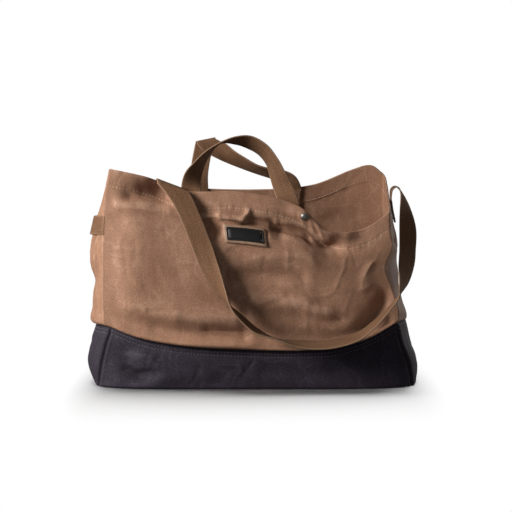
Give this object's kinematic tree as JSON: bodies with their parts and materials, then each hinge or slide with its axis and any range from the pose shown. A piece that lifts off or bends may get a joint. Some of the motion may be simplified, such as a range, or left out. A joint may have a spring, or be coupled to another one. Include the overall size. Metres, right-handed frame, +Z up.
{
  "type": "log carrier",
  "caption": "Open-topped waxed-canvas tote on a dark canvas boot, with webbing grab handles and a long shoulder strap draped over its front, for carrying firewood.",
  "frame": {"origin": "on the floor, under the middle of the boot's base", "axes": "+Z up, -Y towards the front with the label, +X towards the viewer's right"},
  "size_m": [0.5528, 0.3326, 0.4094],
  "materials": {
    "canvas": "tan waxed canvas",
    "boot": "charcoal canvas",
    "webbing": "olive-brown cotton webbing",
    "patch": "tan label backing",
    "leather": "black label face, left bare",
    "metal": "dull nickel snap cap"
  },
  "bodies": {
    "root": {"front_panel": "canvas", "back_panel": "canvas", "left_side_panel": "canvas", "right_side_panel": "canvas", "base_front": "boot", "base_back": "boot", "base_left": "boot", "base_right": "boot", "base_bottom": "boot", "front_handle": "webbing", "back_handle": "webbing", "shoulder_strap": "webbing", "side_loop": "webbing", "label_backing": "patch", "label_face": "leather", "snap": "metal"}
  },
  "joints": []
}
